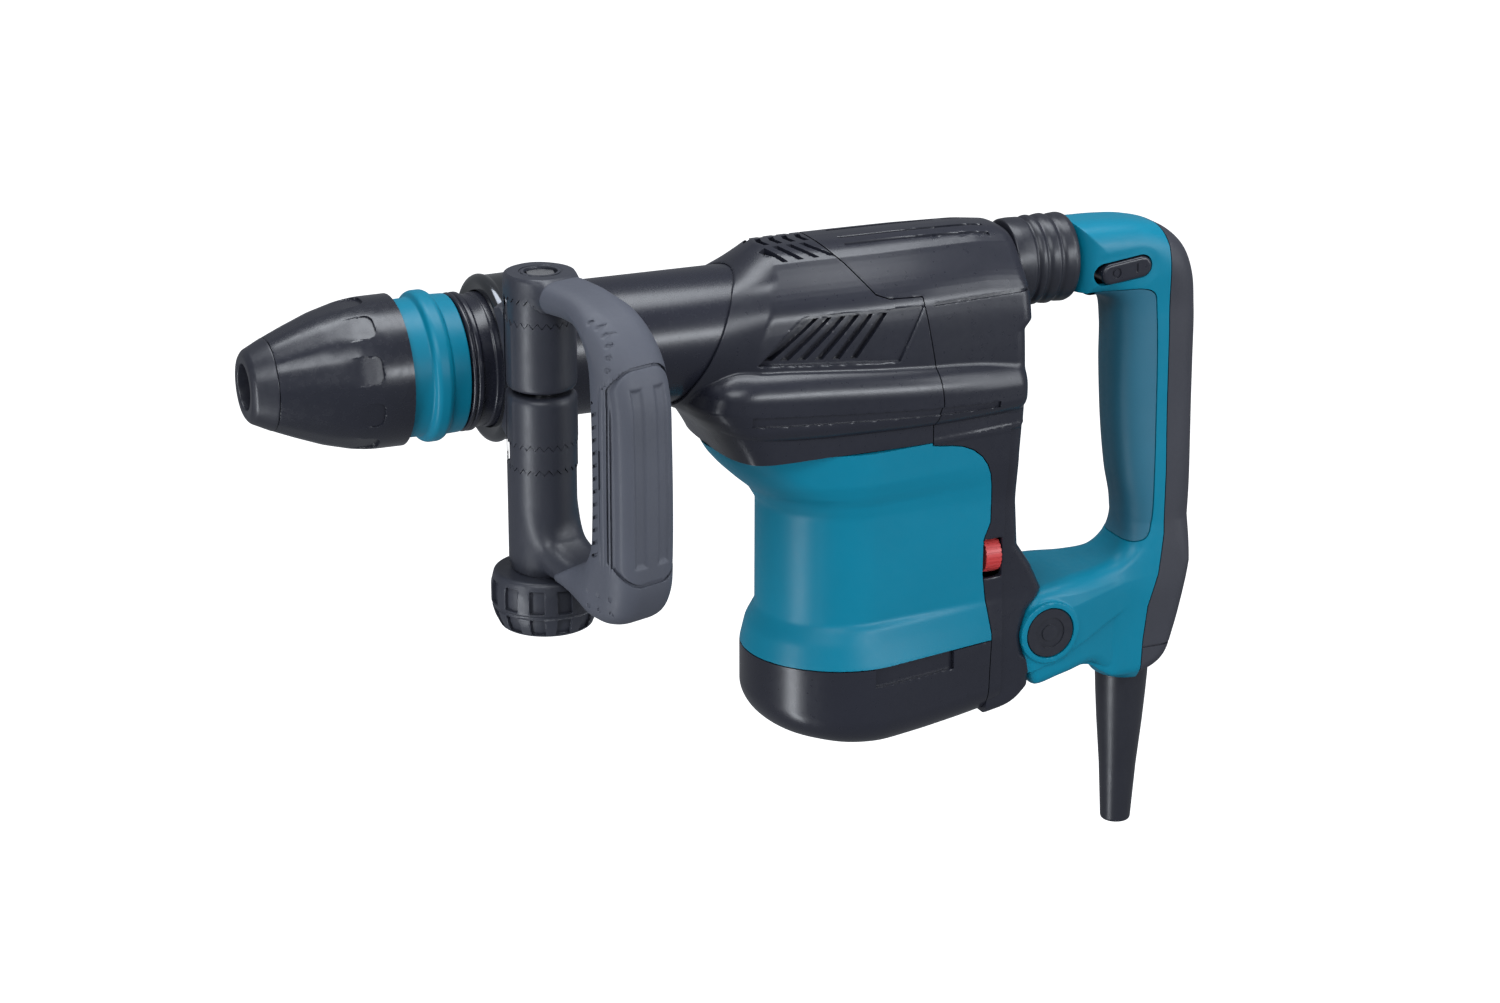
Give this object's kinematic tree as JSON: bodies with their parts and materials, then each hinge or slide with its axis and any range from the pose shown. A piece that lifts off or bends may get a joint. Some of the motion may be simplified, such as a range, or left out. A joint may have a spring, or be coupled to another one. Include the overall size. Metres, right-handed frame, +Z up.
{
  "type": "rotary hammer",
  "caption": "Rotary hammer body with ribbed-shank bit socket, upright motor, crank-driven hammer mechanism, swivelling side grip and sprung rear handle.",
  "frame": {"origin": "centre of the bit socket mouth on the bit axis", "axes": "+X back along the bit axis towards the rear handle, +Z up, the side grip hangs on -Y"},
  "size_m": [0.4654, 0.1681, 0.3326],
  "materials": {
    "black_rubber": "satin moulded rubber",
    "gloss_black": "satin-gloss moulded cover",
    "teal_plastic": "satin teal polyamide",
    "steel": "ground steel",
    "dark_steel": "black oxide steel",
    "spring_steel": "oil-tempered spring wire",
    "black_paint": "black satin paint on cast magnesium",
    "grip_plastic": "glass-filled polyamide",
    "grip_rubber": "matte soft overmould",
    "alloy": "die-cast aluminium",
    "copper": "copper bars",
    "brass": "pressed brass",
    "carbon": "carbon",
    "black_plastic": "fine-textured black polyamide",
    "handle_rubber": "matte soft overmould",
    "red_plastic": "red moulded dial"
  },
  "bodies": {
    "machine": {"barrel": "black_paint", "cylinder": "steel", "crank_housing": "alloy", "crank_bearings": "steel", "gear_plate": "alloy", "field_stator": "dark_steel", "motor_bearings": "steel", "brush_holders": "brass", "carbon_brushes": "carbon", "front_housing": "black_plastic", "rear_housing": "black_plastic", "motor_housing": "teal_plastic", "bottom_cover": "black_plastic", "housing_screws": "dark_steel", "speed_controller": "black_plastic", "pivot_pin": "steel", "counterweight_spring_front": "spring_steel", "counterweight_spring_rear": "spring_steel", "handle_bellows": "black_rubber", "handle_spring": "spring_steel"},
    "holder": {"tool_holder": "steel", "nose_cap": "black_rubber", "locking_rollers": "steel", "guide_washer": "dark_steel", "spring_seat": "dark_steel", "release_spring": "spring_steel"},
    "release_sleeve": {"release_cover": "gloss_black"},
    "change_sleeve": {"change_ring": "teal_plastic"},
    "grip_clamp": {"clamp_band": "dark_steel", "grip_upper_jaw": "grip_plastic", "grip_lower_jaw": "grip_plastic"},
    "side_grip": {"grip_frame": "grip_plastic", "grip_sleeve": "grip_rubber", "grip_index_rings": "grip_plastic", "grip_bolt": "steel"},
    "clamp_knob": {"grip_knob": "grip_plastic"},
    "beat_piece": {"impact_bolt": "steel"},
    "hammer_striker": {"striker": "steel", "striker_o_ring": "black_rubber"},
    "hammer_piston": {"piston": "alloy", "piston_o_ring": "black_rubber", "piston_pin": "steel"},
    "con_rod": {"connecting_rod": "dark_steel", "crank_pin": "steel"},
    "crank": {"crankshaft": "dark_steel", "crank_gear": "steel"},
    "armature": {"armature_shaft": "steel", "armature_core": "dark_steel", "commutator": "copper", "cooling_fan": "black_plastic"},
    "damper": {"counterweight": "dark_steel"},
    "rear_handle": {"handle_body": "teal_plastic", "handle_cover": "handle_rubber", "switch_body": "black_plastic", "handle_screws": "dark_steel", "cord_guard": "black_rubber", "pivot_caps": "black_plastic"},
    "slide_switch": {"switch_slider": "black_plastic"},
    "dial": {"speed_dial": "red_plastic"}
  },
  "joints": [
    {"name": "holder_turn", "type": "hinge", "parent": "machine", "child": "holder", "pos_m": [0.06, 0, 0], "axis": [1, 0, 0], "continuous": true},
    {"name": "release_slide", "type": "slide", "parent": "holder", "child": "release_sleeve", "axis": [1, 0, 0], "range_m": [0, 0.005], "stiffness_N_per_m": 4000, "springref_m": -0.004, "deforming": ["release_spring"]},
    {"name": "change_slide", "type": "slide", "parent": "holder", "child": "change_sleeve", "axis": [-1, 0, 0], "range_m": [0, 0.004], "stiffness_N_per_m": 3000, "springref_m": -0.003},
    {"name": "grip_swing", "type": "hinge", "parent": "machine", "child": "grip_clamp", "pos_m": [0.111, 0, 0], "axis": [1, 0, 0], "continuous": true},
    {"name": "grip_pivot", "type": "hinge", "parent": "grip_clamp", "child": "side_grip", "pos_m": [0.111, -0.051, 0], "axis": [0, 0, 1], "range_deg": [-45, 45]},
    {"name": "knob_turn", "type": "hinge", "parent": "side_grip", "child": "clamp_knob", "pos_m": [0.111, -0.051, -0.093], "axis": [0, 0, 1], "continuous": true},
    {"name": "impact_bolt_slide", "type": "slide", "parent": "machine", "child": "beat_piece", "axis": [-1, 0, 0], "range_m": [0, 0.0025]},
    {"name": "crank_spin", "type": "hinge", "parent": "machine", "child": "crank", "pos_m": [0.24, 0, -0.014], "axis": [0, 0, 1], "continuous": true},
    {"name": "armature_spin", "type": "hinge", "parent": "machine", "child": "armature", "pos_m": [0.2725, 0, -0.1], "axis": [0, 0, 1], "continuous": true},
    {"name": "piston_slide", "type": "slide", "parent": "machine", "child": "hammer_piston", "axis": [1, 0, 0], "range_m": [0, 0.024]},
    {"name": "rod_swing", "type": "hinge", "parent": "hammer_piston", "child": "con_rod", "pos_m": [0.18, 0, 0], "axis": [0, 0, 1], "range_deg": [-14.4, 14.4]},
    {"name": "striker_slide", "type": "slide", "parent": "machine", "child": "hammer_striker", "axis": [1, 0, 0], "range_m": [0, 0.018]},
    {"name": "damper_slide", "type": "slide", "parent": "machine", "child": "damper", "axis": [1, 0, 0], "range_m": [-0.006, 0.006], "stiffness_N_per_m": 9000, "deforming": ["counterweight_spring_front", "counterweight_spring_rear"]},
    {"name": "handle_pivot", "type": "hinge", "parent": "machine", "child": "rear_handle", "pos_m": [0.373, 0, -0.1605], "axis": [0, 1, 0], "range_deg": [-1.4, 1.4], "stiffness_Nm_per_rad": 900, "deforming": ["handle_bellows", "handle_spring"]},
    {"name": "switch_slide", "type": "slide", "parent": "rear_handle", "child": "slide_switch", "axis": [0, 1, 0], "range_m": [0, 0.005]},
    {"name": "dial_turn", "type": "hinge", "parent": "machine", "child": "dial", "pos_m": [0.3406, -0.024, -0.117], "axis": [1, 0, 0], "range_deg": [0, 240]}
  ],
  "couplings": [
    {"joint": "armature_spin", "follows": "crank_spin", "ratio": -4},
    {"joint": "striker_slide", "follows": "piston_slide", "ratio": 0.75}
  ]
}
